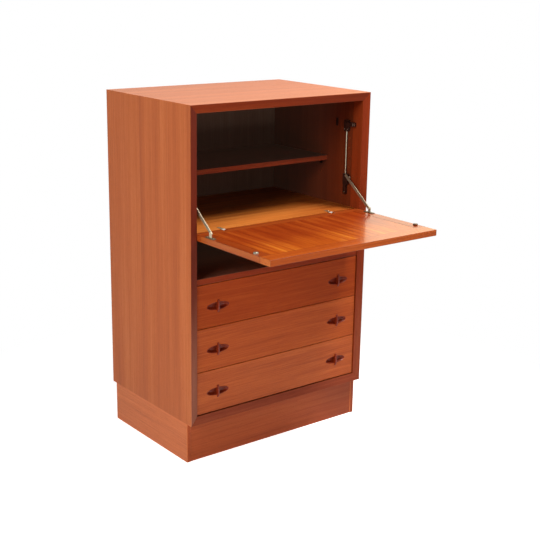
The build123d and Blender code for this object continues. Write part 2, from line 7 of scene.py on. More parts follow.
from dataclasses import dataclass
from math import cos, pi, radians, sin

import bmesh
import bpy
from mathutils import Matrix, Vector


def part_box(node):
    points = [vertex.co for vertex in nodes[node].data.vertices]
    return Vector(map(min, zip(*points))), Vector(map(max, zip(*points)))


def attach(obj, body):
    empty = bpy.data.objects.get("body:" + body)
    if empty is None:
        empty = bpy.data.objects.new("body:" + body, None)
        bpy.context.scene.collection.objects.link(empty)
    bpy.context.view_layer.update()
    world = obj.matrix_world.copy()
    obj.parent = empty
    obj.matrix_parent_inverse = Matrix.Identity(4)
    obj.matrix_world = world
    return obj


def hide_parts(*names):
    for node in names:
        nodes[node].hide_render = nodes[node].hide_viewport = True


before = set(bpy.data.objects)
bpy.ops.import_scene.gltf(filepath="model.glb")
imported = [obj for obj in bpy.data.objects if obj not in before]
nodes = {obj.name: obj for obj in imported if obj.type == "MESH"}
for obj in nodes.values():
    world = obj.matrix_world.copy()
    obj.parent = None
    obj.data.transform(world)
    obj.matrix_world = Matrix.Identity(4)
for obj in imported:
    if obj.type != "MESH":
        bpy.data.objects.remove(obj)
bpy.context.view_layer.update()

MM = 0.001
AXES = "XYZ"


# ------------------------------------------------------------------ node trees written as expressions
class Signal:
    """An output socket of a node tree. Arithmetic on it adds Math nodes to its tree."""

    def __init__(self, graph, socket):
        self.graph = graph
        self.socket = socket

    def maths(self, operation, *values):
        return self.graph.node("ShaderNodeMath", {"operation": operation}, dict(enumerate(values)))

    def __add__(self, other):
        return self.maths("ADD", self, other)

    __radd__ = __add__

    def __mul__(self, other):
        return self.maths("MULTIPLY", self, other)

    def __sub__(self, other):
        return self.maths("SUBTRACT", self, other)

    def __rsub__(self, other):
        return self.maths("SUBTRACT", other, self)

    def __truediv__(self, other):
        return self.maths("DIVIDE", self, other)

    def __abs__(self):
        return self.maths("ABSOLUTE", self)

    def floor(self):
        return self.maths("FLOOR", self)

    def folded(self, width):
        """Runs up to the width and back again, over and over."""
        return self.maths("PINGPONG", self, width)

    def least(self, other):
        return self.maths("MINIMUM", self, other)

    def most(self, other):
        return self.maths("MAXIMUM", self, other)

    def step(self, low, high):
        """0 below low, 1 above high, and a smooth rise between them."""
        sockets = {"Value": self, "From Min": low, "From Max": high}
        return self.graph.node("ShaderNodeMapRange", {"interpolation_type": "SMOOTHSTEP"}, sockets)

    def ramp(self, *stops):
        """Colours at places along 0 to 1."""
        return self.graph.node("ShaderNodeValToRGB", {"stops": stops}, {"Fac": self})


class Graph:
    """A node tree that is filled by calls of one method."""

    def __init__(self, tree):
        self.tree = tree

    def node(self, kind, settings=None, sockets=None, out=0):
        """Adds a node. settings are set first, and sockets take values or the signals linked to them."""
        made = self.tree.nodes.new(kind)
        for name, value in (settings or {}).items():
            if name == "stops":
                self.set_stops(made.color_ramp.elements, value)
            else:
                setattr(made, name, value)
        for name, value in (sockets or {}).items():
            if isinstance(value, Signal):
                self.tree.links.new(value.socket, made.inputs[name])
            else:
                made.inputs[name].default_value = value
        return Signal(self, made.outputs[out]) if len(made.outputs) else None

    @staticmethod
    def set_stops(elements, stops):
        while len(elements) < len(stops):
            elements.new(1.0)
        for element, (place, colour) in zip(elements, stops):
            element.position = place
            element.color = (*colour, 1.0)


class Finish(Graph):
    """A procedural material whose patterns lie in the object's own coordinates."""

    def __init__(self, name):
        self.material = bpy.data.materials.new(name)
        self.material.use_nodes = True
        super().__init__(self.material.node_tree)
        self.tree.nodes.clear()
        self.place = self.node("ShaderNodeTexCoord", out="Object")

    def axes(self, where):
        """X, Y and Z of a vector."""
        first = self.node("ShaderNodeSeparateXYZ", None, {"Vector": where})
        return [Signal(self, socket) for socket in first.socket.node.outputs]

    def vector(self, operation, a, b):
        return self.node("ShaderNodeVectorMath", {"operation": operation}, {0: a, 1: b})

    def noise(self, where, scale, detail=2.0, roughness=0.5, shift=(0, 0, 0), out="Fac"):
        """Noise that repeats about scale times a metre along each axis."""
        mapped = self.node("ShaderNodeMapping", None, {"Vector": where, "Scale": scale, "Location": shift})
        sockets = {"Vector": mapped, "Scale": 1.0, "Detail": detail, "Roughness": roughness}
        return self.node("ShaderNodeTexNoise", None, sockets, out)

    def mix(self, factor, a, b, blend="MIX"):
        """Colour a, turning into colour b, or blended with it, as factor goes from 0 to 1."""
        sockets = {"Factor": factor}
        for index, value in ((6, a), (7, b)):
            sockets[index] = value if isinstance(value, Signal) else (*value, 1.0)
        settings = {"data_type": "RGBA", "blend_type": blend}
        return self.node("ShaderNodeMix", settings, sockets, 2)

    def surface(self, colour, roughness, height, relief, **sockets):
        """Ends the material. height is the signal whose relief, in metres, is felt as bump."""
        bump = self.node("ShaderNodeBump", None, {"Height": height, "Distance": relief}, "Normal")
        values = {"Base Color": colour, "Roughness": roughness, "Normal": bump}
        values.update({name.replace("_", " "): value for name, value in sockets.items()})
        shader = self.node("ShaderNodeBsdfPrincipled", None, values)
        self.node("ShaderNodeOutputMaterial", None, {"Surface": shader})
        return self.material


# ------------------------------------------------------------------ colours
def srgb(red, green, blue):
    """A colour written as it looks, from 0 to 255, as the linear values that shaders take."""
    shares = (red / 255, green / 255, blue / 255)
    return tuple(s / 12.92 if s <= 0.04045 else ((s + 0.055) / 1.055) ** 2.4 for s in shares)


def tones(*colours):
    """Colours of a wood, dark, middle and light, written as srgb takes them."""
    return tuple(srgb(*colour) for colour in colours)


def tinted(colours, tint):
    """The same tones, each multiplied by a tint."""
    return tuple(tuple(part * share for part, share in zip(colour, tint)) for colour in colours)


def scaled(colour, share):
    """A colour made lighter or darker."""
    return tuple(min(1.0, share * part) for part in colour)


# ------------------------------------------------------------------ woods
TONE_STOPS = (0.15, 0.5, 0.85)  # where a tone is dark, middle and light
BAND_SHARE, LINE_SHARE, FIBRE_SHARE = 1.6, 1.3, 0.4  # of a tone
CALM_SHARE = 0.6  # of a tone, on the flap's outer face

# how often each pattern of the grain repeats in a metre, across it and along it
WANDER_SCALE = (6.0, 1.6)
FIBRE_SCALE = (900.0, 22.0)
PORE_SCALE = (1700.0, 70.0)
LINE_STRETCH = 2.2  # growth lines along the grain, to a cut's bands
WANDER = 14 * MM  # how far the grain strays sideways
PORES_OPEN = (0.60, 0.72)
GRAIN_RELIEF = 0.08 * MM
SEED_SHIFT = (1.7, 2.3, 3.1)
SLIP_ALONG, SLIP_ACROSS = 0.6, 0.15  # the most that a leaf of veneer is shifted

# where each of these begins and is whole, from its own line, limit or edge
LIPPING_BACK = (-0.2 * MM, 0.0)
LIPPING_SIDES = (0.1 * MM, 0.5 * MM)
UNDERSIDE = (0.1 * MM, 0.4 * MM)
UPPER_FACE = (-0.4 * MM, -0.2 * MM)
TINT_EDGE = (-0.4 * MM, -0.1 * MM)
STRIP_BACK = (-1 * MM, 1 * MM)
STRIP_LINE = (0.5 * MM, 2.5 * MM)
VENEER_JOINT = (0.2 * MM, 0.9 * MM)
SEAM_LINE = (0.3 * MM, 1.3 * MM)
# where edges turn lighter, partly worn and partly a painted highlight, and how ragged that is
WORN_AND_LIT_EDGE = (0.0, 2 * MM)
WORN_AND_LIT_RAGGEDNESS = 3 * MM

# painted light: heights over which a lipping turns into its lighter, greyer low tones
LOW_SHEEN_HEIGHTS = (0.25, 0.62)
# painted light: a faint grey glow on the inner faces, with no lamp, and the depths over which it comes in
PAINTED_GREY_GLOW = (0.0078, 0.0043, 0.0028)
PAINTED_GLOW_DEPTHS = (-0.02, 0.16)


@dataclass
class Timber:
    """How a board's wood is cut and finished."""

    tones: tuple  # dark, middle and light
    rough: float = 0.46
    contrast: float = 0.6
    cloud: float = 1.0  # share of the broad bands
    bands: float = 24.0  # broad bands in a metre across the grain
    lines: float = 150.0  # growth lines in a metre across it
    length: float = 0.8  # broad bands in a metre along it
    edge_wear_and_highlight: float = 0.25  # how much its edges are lighter, partly worn and partly a painted highlight
    seam: float = 0.0  # the dark line round a let-in board
    coat: float = 0.0  # lacquer on its upper face alone
    coat_rough: float = 0.16
    specular: float = 0.16


class Board(Finish):
    """The wood of one board. Its grain is drawn first, and then each feature changes its colour in turn."""

    def __init__(self, node, grain, cut, seed, leaves=None):
        super().__init__(f"{node}_wood")
        self.x, self.y, self.z = self.axes(self.place)
        self.low, self.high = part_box(node)
        self.grain = grain
        self.cut = cut
        self.lip = 0.0  # 1 on the lipping
        self.past = 1.0  # 1 where a tint is whole
        where, self.joint = self.in_leaves(*leaves) if leaves else (self.place, None)
        self.draw_grain(where, tuple(seed * part for part in SEED_SHIFT))
        self.colour = self.toned(cut.tones)

    def along(self, across, lengthwise):
        """Pattern scale: lengthwise on the grain's axis, across on the other two."""
        return tuple(lengthwise if axis == self.grain else across for axis in AXES)

    def in_leaves(self, axis, start, width, matched):
        """Place on a face veneered in leaves side by side, and the distance to the nearest joint between two.

        Matched leaves are turned over like pages, and slipped ones are each shifted by chance.
        """
        parts = [self.x, self.y, self.z]
        across = AXES.index(axis)
        offset = parts[across] - start
        count = (offset / width).floor()
        within = offset - count * width
        joint = within.least(width - within)
        if matched:
            parts[across] = offset.folded(width)
        else:
            chance = self.node("ShaderNodeTexWhiteNoise", {"noise_dimensions": "1D"}, {"W": count}, "Value")
            slips = [SLIP_ACROSS if index == across else SLIP_ALONG for index in range(3)]
            parts = [part + chance * slip for part, slip in zip(parts, slips)]
        return self.node("ShaderNodeCombineXYZ", None, dict(enumerate(parts))), joint

    def draw_grain(self, where, shift):
        """Broad bands, growth lines, fibres and pores, and the tone that they make together."""
        cut = self.cut
        stray = self.noise(where, self.along(*WANDER_SCALE), 1.0, 0.5, shift, "Color")
        stray = self.vector("SUBTRACT", stray, (0.5, 0.5, 0.5))
        where = self.vector("ADD", where, self.vector("MULTIPLY", stray, self.along(WANDER, 0.0)))
        self.bands = self.noise(where, self.along(cut.bands, cut.length), 2.0, 0.5, shift)
        self.lines = self.noise(where, self.along(cut.lines, LINE_STRETCH * cut.length), 3.0, 0.65, shift)
        self.fibres = self.noise(where, self.along(*FIBRE_SCALE), 2.0, 0.6, shift)
        self.pores = self.noise(where, self.along(*PORE_SCALE), 1.0, 0.5, shift).step(*PORES_OPEN)
        tone = (self.bands - 0.5) * (BAND_SHARE * cut.contrast * cut.cloud)
        tone = tone + (self.lines - 0.5) * (LINE_SHARE * cut.contrast)
        self.tone = tone + (self.fibres - 0.5) * FIBRE_SHARE + 0.5

    def toned(self, colours, tone=None):
        """Dark, middle and light colours laid over the grain's tone."""
        return (tone or self.tone).ramp(*zip(TONE_STOPS, colours))

    def lip_front(self, depth, colours, low_sheen=None):
        """Solid lipping on the front edge, as far back as depth, that may turn into lighter, greyer tones low
        down: painted light, standing in for the floor's light and sheen.
        """
        x_gap, _, z_gap = self.gaps()
        front = 1.0 - (self.y - depth).step(*LIPPING_BACK)
        self.lip = front * x_gap.least(z_gap).step(*LIPPING_SIDES)
        edging = self.toned(colours)
        if low_sheen:
            # painted light: lighter tones towards the bottom
            edging = self.mix(1.0 - self.z.step(*LOW_SHEEN_HEIGHTS), edging, self.toned(low_sheen))
        self.colour = self.mix(self.lip, self.colour, edging)

    def face_underside(self, colours):
        """Calmer tones on the underside, for the flap, which shows it as its outer face when it is shut."""
        below = 1.0 - (self.z - self.low.z).step(*UNDERSIDE)
        calm = (self.tone - 0.5) * CALM_SHARE + 0.5
        self.colour = self.mix(below, self.colour, self.toned(colours, calm))

    def tint_past(self, axis, limit, side, tint, spread=TINT_EDGE):
        """Multiplies the colour by a tint past a limit, on the side of it that is +1 or -1 along the axis.

        spread is where the tint begins and is whole, from the limit.
        """
        place = (self.x, self.y, self.z)[AXES.index(axis)]
        self.past = ((place - limit) * side).step(*spread)
        self.colour = self.mix(self.past, self.colour, tint, "MULTIPLY")

    def let_in_strip(self, depth, tint):
        """A solid strip along the front of a tinted face, back to a depth, with a dark line behind it. Its
        lighter tint is partly painted light, where the front of the face catches more light.
        """
        behind = self.y - depth
        strip = self.past * (1.0 - behind.step(*STRIP_BACK))
        line = self.past * (1.0 - abs(behind).step(*STRIP_LINE))
        # partly painted light: the strip's tint lightens the front of the shaded face
        self.colour = self.mix(strip, self.colour, tint, "MULTIPLY")
        self.colour = self.mix(line * 0.3, self.colour, (0, 0, 0))

    def wear_in(self):
        """Open pores, the veneer's joints, lighter edges, partly worn and partly a painted highlight, and a
        let-in board's seam.
        """
        dark, middle, light = self.cut.tones
        self.colour = self.mix(self.pores * 0.3, self.colour, scaled(dark, 0.4))
        if self.joint:
            line = (1.0 - self.joint.step(*VENEER_JOINT)) * 0.45
            self.colour = self.mix(line, self.colour, scaled(dark, 0.45))
        edge = self.edge_distance()
        # the edges come out lighter: partly worn, partly a painted highlight where light catches them
        self.rubbed_and_highlit = 1.0 - (edge + (self.lines - 0.5) * WORN_AND_LIT_RAGGEDNESS).step(*WORN_AND_LIT_EDGE)
        self.colour = self.mix(self.rubbed_and_highlit * self.cut.edge_wear_and_highlight, self.colour, scaled(light, 1.2))
        if self.cut.seam:
            line = (1.0 - edge.step(*SEAM_LINE)) * self.cut.seam
            self.colour = self.mix(line, self.colour, scaled(dark, 0.3))

    def gaps(self):
        """Distances to the nearer end of the board along each axis."""
        sides = zip((self.x, self.y, self.z), self.low, self.high)
        return [(place - low).least(high - place) for place, low, high in sides]

    def edge_distance(self):
        """Distance from the surface of a box-shaped board to its nearest edge: the middle of three gaps."""
        x, y, z = (gap.most(0.0) for gap in self.gaps())
        return x.least(y).most(x.most(y).least(z))

    def end(self, dim):
        """Ends the material. A dim board glows faintly grey towards its back: a painted glow standing in for
        the grey light deep in a dark compartment.
        """
        cut = self.cut
        gloss = {"Specular_IOR_Level": cut.specular}
        if cut.coat:
            upper = (self.z - self.high.z).step(*UPPER_FACE)
            gloss.update(Coat_Weight=upper * cut.coat, Coat_Roughness=cut.coat_rough)
        if dim:
            # painted light: the board glows faintly grey towards its back
            deep = self.y.step(*PAINTED_GLOW_DEPTHS) * self.past
            gloss.update(Emission_Color=self.mix(deep, (0, 0, 0), PAINTED_GREY_GLOW), Emission_Strength=1.0)
        rough = cut.rough + (self.bands - 0.5) * 0.1 + self.pores * 0.12 + self.rubbed_and_highlit * 0.05 + self.lip * 0.2
        return self.surface(self.colour, rough, self.fibres * 0.6 - self.pores, GRAIN_RELIEF, **gloss)


def wood(node, grain, cut, seed, leaves=None, lipping=None, underside=None, tint=None, strip=None, dim=False):
    """A board's material. Each feature is given as what its method in Board takes."""
    board = Board(node, grain, cut, seed, leaves)
    if lipping:
        board.lip_front(*lipping)
    if underside:
        board.face_underside(underside)
    if tint:
        board.tint_past(*tint)
    if strip:
        board.let_in_strip(*strip)
    board.wear_in()
    return board.end(dim)


LIPPING = tones((102, 30, 7), (130, 43, 10), (150, 58, 18))
# painted shade: the left side's lipping is darker than the right's, as it faces away from the light
SHADED_LEFT_LIPPING = tones((78, 22, 10), (103, 33, 14), (122, 46, 22))
# painted light: lighter, greyer lipping tones for low down and for the bottom board, for the floor's light
# and sheen
LOW_SHEEN_LEFT_LIPPING = tones((110, 58, 44), (148, 84, 64), (168, 106, 84))
LOW_SHEEN_LIPPING = tones((100, 36, 20), (132, 57, 34), (154, 78, 48))
TOP_LIPPING = tones((100, 32, 10), (130, 46, 16), (150, 62, 25))
SHELF_LIPPING = tones((124, 52, 26), (160, 72, 38), (180, 92, 52))

OUTSIDE = Timber(tones((152, 72, 34), (178, 92, 46), (198, 114, 66)), contrast=0.42)
# painted light: the top board's teak is lighter than the sides', for the light and sheen that fall on it from
# above
LIT_TOP = Timber(tones((172, 99, 63), (196, 119, 80), (213, 138, 100)), contrast=0.42, specular=0.14)
PLINTH_CUT = {"contrast": 0.45, "cloud": 0.5, "bands": 40.0}
PLINTH = Timber(tones((138, 56, 26), (175, 81, 40), (195, 103, 56)), **PLINTH_CUT)
PLINTH_SIDE = Timber(tones((164, 84, 48), (198, 108, 62), (216, 130, 82)), **PLINTH_CUT)
# painted shade: the inner boards' teak is darker and greyer, as they lie in the carcase's shade
SHADED_INSIDE = Timber(tones((60, 37, 30), (84, 54, 43), (102, 68, 54)))
DESK_CUT = {"rough": 0.36, "bands": 50.0, "lines": 260.0, "length": 1.5}
DESK = Timber(tones((166, 80, 29), (204, 115, 46), (228, 146, 73)), **DESK_CUT)
BEECH = Timber(tones((176, 136, 92), (201, 164, 118), (216, 184, 140)), rough=0.6, contrast=0.5)
PLYWOOD = Timber(tones((128, 84, 56), (154, 106, 74), (172, 128, 92)), rough=0.62, contrast=0.4)

LACQUERED = {"rough": 0.34, "seam": 0.6, "edge_wear_and_highlight": 0.0, "coat": 0.5}
FRAME_CUT = {"bands": 50.0, "lines": 240.0, **LACQUERED}
RAIL = Timber(tones((150, 58, 14), (186, 84, 24), (206, 108, 42)), **FRAME_CUT)
REAR_RAIL = Timber(tones((126, 44, 10), (158, 64, 18), (180, 86, 34)), **FRAME_CUT)
STILE = Timber(tones((116, 38, 9), (148, 56, 15), (168, 74, 24)), **FRAME_CUT)
PANEL_CUT = {"contrast": 0.85, "bands": 30.0, "length": 1.3, "lines": 200.0, **LACQUERED}
PANEL = Timber(tones((132, 40, 8), (168, 66, 17), (200, 102, 34)), **PANEL_CUT)

FRONT_TONES = tones((132, 50, 18), (163, 70, 28), (188, 92, 42))
FRONT_CUT = {"rough": 0.4, "cloud": 0.4, "bands": 50.0, "length": 2.0, "lines": 300.0}
# painted light and shade: the upper front is darker, in the flap's shade; the lower ones are lighter and
# greyer, in the floor's light
FRONT_LIGHT_AND_SHADE = {"upper": (0.92, 0.78, 0.55), "middle": (1.12, 1.16, 1.0), "lower": (1.19, 1.36, 1.4)}
FRONT_SHINE = {"upper": 0.08, "middle": 0.13, "lower": 0.16}

SHADED = (0.335, 0.235, 0.24)  # the faces inside the carcase
SHADED_PLYWOOD = (0.4, 0.5, 0.7)
# a real lipping strip, made lighter partly as painted light where the front of the right wall catches light
STRIP_LIGHT_TINT = (1.7, 1.5, 1.25)
RAIL_END = (1.05, 1.4, 2.0)
STILE_EDGE = (1.25, 1.95, 3.0)
SUNNED = (1.35, 1.8, 1.5)
# painted shade: the desk board grows darker towards the right wall
DESK_RIGHT_SHADE = (0.7, 0.6, 0.55)
# painted shade: the plinth's front grows darker towards its right end
PLINTH_RIGHT_SHADE = (0.73, 0.71, 0.84)
LEFT_CORNER = (0.76, 0.53, 0.42)  # the front ends of the plinth's side boards
RIGHT_CORNER = (0.56, 0.38, 0.36)
LIPPING_DEPTH = 6.4 * MM
THIN_LIPPING_DEPTH = 1 * MM

front_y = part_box("side_left")[0].y
lip_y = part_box("top_board")[0].y + LIPPING_DEPTH
inner_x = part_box("side_right")[0].x
ceiling_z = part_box("top_board")[0].z
floor_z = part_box("bottom_board")[1].z
back_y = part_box("back_panel")[0].y
plinth_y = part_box("plinth_left")[0].y
flap_side_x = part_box("flap_front_rail")[1].x
panel_low, panel_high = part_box("flap_panel")
panel_third = (panel_high.x - panel_low.x) / 3


def thin_lipping(node, colours):
    """The lipping feature of an inner board."""
    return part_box(node)[0].y + THIN_LIPPING_DEPTH, colours


BOARDS = {  # the axis of the grain, the cut and the features
    "side_left": ("Z", OUTSIDE, {
        "leaves": ("Y", front_y - 30 * MM, 155 * MM, False),
        "lipping": (lip_y, SHADED_LEFT_LIPPING, LOW_SHEEN_LEFT_LIPPING),
        "tint": ("X", -inner_x, 1, SHADED),
        "dim": True,
    }),
    "side_right": ("Z", OUTSIDE, {
        "leaves": ("Y", front_y - 70 * MM, 165 * MM, False),
        "lipping": (lip_y, LIPPING, LOW_SHEEN_LIPPING),
        "tint": ("X", inner_x, -1, SHADED),
        "strip": (-14 * MM, STRIP_LIGHT_TINT),
        "dim": True,
    }),
    "top_board": ("X", LIT_TOP, {"lipping": (lip_y, TOP_LIPPING), "tint": ("Z", ceiling_z, -1, SHADED)}),
    "bottom_board": ("X", OUTSIDE, {"lipping": (lip_y, LOW_SHEEN_LIPPING), "tint": ("Z", floor_z, 1, SHADED)}),
    "plinth_front": ("X", PLINTH, {"tint": ("X", 0.08, 1, PLINTH_RIGHT_SHADE, (0.0, 0.24))}),
    "plinth_back": ("X", PLINTH, {}),
    "plinth_left": ("Y", PLINTH_SIDE, {"tint": ("Y", plinth_y, -1, LEFT_CORNER)}),
    "plinth_right": ("Y", PLINTH_SIDE, {"tint": ("Y", plinth_y, -1, RIGHT_CORNER)}),
    "plinth_blocks": ("Z", BEECH, {}),
    "back_panel": ("Z", PLYWOOD, {"tint": ("Y", back_y, -1, SHADED_PLYWOOD), "dim": True}),
    "desk_board": ("X", DESK, {"tint": ("X", 0.0, 1, DESK_RIGHT_SHADE, (0.0, 0.32))}),
    "partition_board": ("X", SHADED_INSIDE, {"dim": True, "lipping": thin_lipping("partition_board", LIPPING)}),
    "shelf": ("X", SHADED_INSIDE, {"dim": True, "lipping": thin_lipping("shelf", SHELF_LIPPING)}),
    "drawer_runners": ("Y", BEECH, {}),
    "flap_front_rail": ("X", RAIL, {"underside": FRONT_TONES, "tint": ("X", -flap_side_x, -1, RAIL_END)}),
    "flap_rear_rail": ("X", REAR_RAIL, {"underside": FRONT_TONES}),
    "flap_stile_left": ("Y", STILE, {"underside": FRONT_TONES, "tint": ("X", -flap_side_x, -1, STILE_EDGE)}),
    "flap_stile_right": ("Y", STILE, {"underside": FRONT_TONES, "tint": ("X", flap_side_x, 1, STILE_EDGE)}),
    "flap_panel": ("Y", PANEL, {
        "leaves": ("X", panel_low.x, panel_third, True),
        "underside": FRONT_TONES,
        "tint": ("Y", panel_low.y, -1, SUNNED, (-0.17, -0.03)),
    }),
}
for drawer in ("lower", "middle", "upper"):
    front = Timber(tinted(FRONT_TONES, FRONT_LIGHT_AND_SHADE[drawer]), specular=FRONT_SHINE[drawer], **FRONT_CUT)
    BOARDS[f"drawer_{drawer}_front"] = ("X", front, {})
    BOARDS[f"drawer_{drawer}_side_left"] = ("Y", BEECH, {})
    BOARDS[f"drawer_{drawer}_side_right"] = ("Y", BEECH, {})
    BOARDS[f"drawer_{drawer}_back"] = ("X", BEECH, {})
    BOARDS[f"drawer_{drawer}_base"] = ("X", PLYWOOD, {})


def dress(material, *names):
    """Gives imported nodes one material."""
    for name in names:
        materials = nodes[name].data.materials
        materials.clear()
        materials.append(material)


for seed, (node, (grain, cut, features)) in enumerate(BOARDS.items()):
    dress(wood(node, grain, cut, seed, **features), node)


# ------------------------------------------------------------------ metals, plastic and lacquer
# painted highlight: the white of a hinge leaf's front end, standing in for its knuckle's glint
LEAF_HIGHLIGHT_WHITE = srgb(250, 246, 238)
# the stay foot's plate is darker and browner than its post
FOOT_PLATE_BROWN = srgb(122, 104, 80)
# painted shade: the right catch disc is darker and browner than the left
RIGHT_DISC_SHADE = srgb(92, 54, 30)
RUBBED_LINES = (260.0, 2600.0, 2600.0)  # in a metre, along X and across
LEAF_HIGHLIGHT_LENGTH = 11 * MM  # of the painted highlight on a hinge leaf, from its front end
FOOT_PLATE = 2 * MM


def nickel(name, colour, rough, right_shade=None, highlight_back=None, dull=None, metallic=1.0):
    """Nickelled steel: fine lines from rubbing, a little tarnish and soft dents.

    right_shade is the painted shade of the pieces on the right. highlight_back is how far back a piece's
    front end is painted white as a highlight, and dull is (height, colour) of what lies low on a piece.
    """
    finish = Finish(name)
    lines = finish.noise(finish.place, RUBBED_LINES, 2.0, 0.6)
    tarnish = finish.noise(finish.place, (120.0,) * 3, 3.0, 0.6).step(0.5, 0.75)
    shade = finish.mix(tarnish * 0.35, colour, scaled(colour, 0.6))
    x, y, z = finish.axes(finish.place)
    if right_shade:
        # painted shade: pieces on the right are darker and browner
        shade = finish.mix(x.step(0.0, 1 * MM), shade, right_shade)
    if dull:
        height, dirt = dull
        shade = finish.mix(z.step(height, height + 0.5 * MM), dirt, shade)
    # painted highlight: a piece's front end is white and not metallic
    if highlight_back:
        bright = 1.0 - y.step(highlight_back - 0.5 * MM, highlight_back)
        shade = finish.mix(bright, shade, LEAF_HIGHLIGHT_WHITE)
        metallic = 1.0 - bright
    rough = rough + lines * 0.12 + tarnish * 0.1
    return finish.surface(shade, rough, lines, 0.03 * MM, Metallic=metallic)


def brown_plastic(name):
    """Dark brown moulded plastic with a fine pebbled skin."""
    finish = Finish(name)
    pebbles = finish.noise(finish.place, (1500.0,) * 3)
    haze = finish.noise(finish.place, (60.0,) * 3)
    colour = haze.ramp((0.3, srgb(42, 20, 15)), (0.7, srgb(60, 32, 24)))
    return finish.surface(colour, haze * 0.15 + 0.42, pebbles, 0.05 * MM, Specular_IOR_Level=0.2)


def dark_lacquer(name):
    """Dark red-brown stained wood under gloss lacquer, for the pulls."""
    finish = Finish(name)
    streaks = finish.noise(finish.place, (180.0, 180.0, 900.0), 3.0, 0.6)
    colour = streaks.ramp((0.3, srgb(80, 17, 4)), (0.55, srgb(124, 38, 12)), (0.8, srgb(156, 66, 30)))
    gloss = {"Specular_IOR_Level": 0.15, "Coat_Weight": 0.2, "Coat_Roughness": 0.08}
    return finish.surface(colour, streaks * 0.1 + 0.34, streaks, 0.04 * MM, **gloss)


# painted highlight: how far back the hinge leaves' front ends are white
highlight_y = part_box("hinge_board_leaves")[0].y + LEAF_HIGHLIGHT_LENGTH
foot_plate_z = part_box("stay_feet")[0].z + FOOT_PLATE

NICKEL = nickel("nickelled_steel", srgb(184, 176, 156), 0.32)
ZINC = nickel("zinc_plated_steel", srgb(160, 147, 124), 0.5, metallic=0.6)
SATIN_NICKEL = nickel("satin_nickelled_steel", srgb(184, 178, 162), 0.45)
FOOT_NICKEL = nickel("foot_nickel", srgb(216, 200, 172), 0.45, dull=(foot_plate_z, FOOT_PLATE_BROWN), metallic=0.7)
LEAF_NICKEL = nickel("rubbed_nickelled_steel", srgb(160, 146, 120), 0.42, highlight_back=highlight_y)
DISC_NICKEL = nickel("catch_disc_nickel", srgb(168, 164, 148), 0.35, right_shade=RIGHT_DISC_SHADE)
BROWN_PLASTIC = brown_plastic("brown_moulded_plastic")
DARK_LACQUER = dark_lacquer("dark_lacquered_wood")

dress(ZINC, "stay_arm_left", "stay_arm_right")
dress(NICKEL, "stay_rods", "stay_knob_left", "stay_knob_right", "catch_poles", "hinge_pins")
dress(SATIN_NICKEL, "hinge_flap_leaves")
dress(FOOT_NICKEL, "stay_feet")
dress(LEAF_NICKEL, "hinge_board_leaves")
dress(DISC_NICKEL, "catch_discs")
dress(BROWN_PLASTIC, "stay_upper_brackets", "stay_lower_brackets", "stay_slider_left", "stay_slider_right")
dress(BROWN_PLASTIC, "shelf_supports", "wall_clip", "catch_housings")


# ------------------------------------------------------------------ new pieces
SMOOTH_UP_TO = radians(40)


def placed(name, data):
    """A new object with this data, in the scene at the origin."""
    made = bpy.data.objects.new(name, data)
    bpy.context.collection.objects.link(made)
    return made


def smoothed(data):
    data.shade_smooth()
    data.set_sharp_from_angle(angle=SMOOTH_UP_TO)


# ------------------------------------------------------------------ pulls: an oval dish with an upright fin
DISH_WIDTH, DISH_HEIGHT, DISH_DEPTH = 83.8 * MM, 25.3 * MM, 12 * MM
DISH_ARRIS = 0.35 * MM
DISH_LIP = 1.7 * MM
LIP_ROUND = 0.4 * MM
BOWL_START, BOWL_DEPTH = 0.3 * MM, 9.8 * MM
BOWL_FLOOR = 0.58  # of the mouth's size
BOWL_STEPS = 10
FLOOR_RINGS = (0.3, 0.05)  # of the mouth's size
FIN_HALF_WIDTH, FIN_HALF_HEIGHT = 3 * MM, 20 * MM
FIN_PROUD, FIN_TIP = 7 * MM, 2.2 * MM
FIN_EDGE = 1.4 * MM
FIN_EDGE_ANGLES = (0, pi / 6, pi / 3, pi / 2)
FIN_BEVEL = 0.5 * MM
FIN_SINK = 0.5 * MM  # into the bowl's floor
FIN_NOTCH = 0.02 * MM  # half the height over which its back steps down into the bowl
FIN_STEPS = 24
FACETS = 96


def joined_rings(mesh, rings):
    """Skins a row of rings of points that have the same count, and closes both ends."""
    rows = [[mesh.verts.new(point) for point in ring] for ring in rings]
    for row, other in zip(rows, rows[1:]):
        for i in range(len(row)):
            j = (i + 1) % len(row)
            mesh.faces.new((row[i], row[j], other[j], other[i]))
    mesh.faces.new(rows[0])
    mesh.faces.new(rows[-1])


def oval(half_width, half_height, depth):
    """Ring of points on an oval that faces -Y."""
    angles = [2 * pi * i / FACETS for i in range(FACETS)]
    return [(half_width * cos(angle), depth, half_height * sin(angle)) for angle in angles]


def dish_rings():
    """The dish from its back, round its wall and lip, and down its bowl."""
    a, b = DISH_WIDTH / 2, DISH_HEIGHT / 2
    rings = [oval(a, b, DISH_DEPTH), oval(a, b, DISH_ARRIS), oval(a - DISH_ARRIS, b - DISH_ARRIS, 0)]
    a, b = a - DISH_LIP, b - DISH_LIP
    rings.append(oval(a + LIP_ROUND, b + LIP_ROUND, 0))
    for i in range(BOWL_STEPS + 1):
        share = i / BOWL_STEPS
        scale = 1 - (1 - BOWL_FLOOR) * share
        depth = BOWL_START + (BOWL_DEPTH - BOWL_START) * sin(share * pi / 2)
        rings.append(oval(a * scale, b * scale, depth))
    return rings + [oval(a * scale, b * scale, BOWL_DEPTH) for scale in FLOOR_RINGS]


